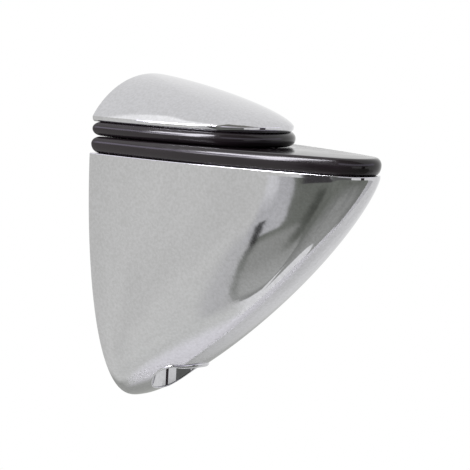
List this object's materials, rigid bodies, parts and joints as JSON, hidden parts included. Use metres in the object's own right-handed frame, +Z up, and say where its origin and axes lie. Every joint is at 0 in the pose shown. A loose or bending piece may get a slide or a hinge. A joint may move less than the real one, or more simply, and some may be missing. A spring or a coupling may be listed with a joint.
{
  "type": "shelf support",
  "caption": "Wall-mounted clamping shelf support: domed fixed upper jaw, hollow sliding lower jaw with a curved keel, soft black pads and a clamping screw.",
  "frame": {"origin": "on the wall plane and the centre line, at the height of the upper pad's underside, where the shelf's top face meets the wall", "axes": "+X away from the wall towards the nose, +Y sideways along the wall, +Z up"},
  "size_m": [0.0548, 0.0302, 0.0597],
  "materials": {
    "chrome_casting": "bright chrome plate on a polished zinc die casting",
    "pad_rubber": "smooth glossy black rubber",
    "screw_steel": "zinc-plated steel"
  },
  "bodies": {
    "wall_part": {"upper_jaw": "chrome_casting", "upper_pad": "pad_rubber"},
    "sliding_part": {"lower_jaw": "chrome_casting", "lower_pad": "pad_rubber"},
    "screw": {"clamp_screw": "screw_steel"}
  },
  "joints": [
    {"name": "jaw_slide", "type": "slide", "parent": "wall_part", "child": "sliding_part", "axis": [0, 0, -1], "range_m": [0, 0.016]},
    {"name": "screw_turn", "type": "hinge", "parent": "sliding_part", "child": "screw", "pos_m": [0.01, 0, -0.0351], "axis": [0, 0, -1], "range_deg": [0, 7200]}
  ],
  "couplings": [
    {"joint": "screw_turn", "follows": "jaw_slide", "rad_per_m": 7854}
  ]
}
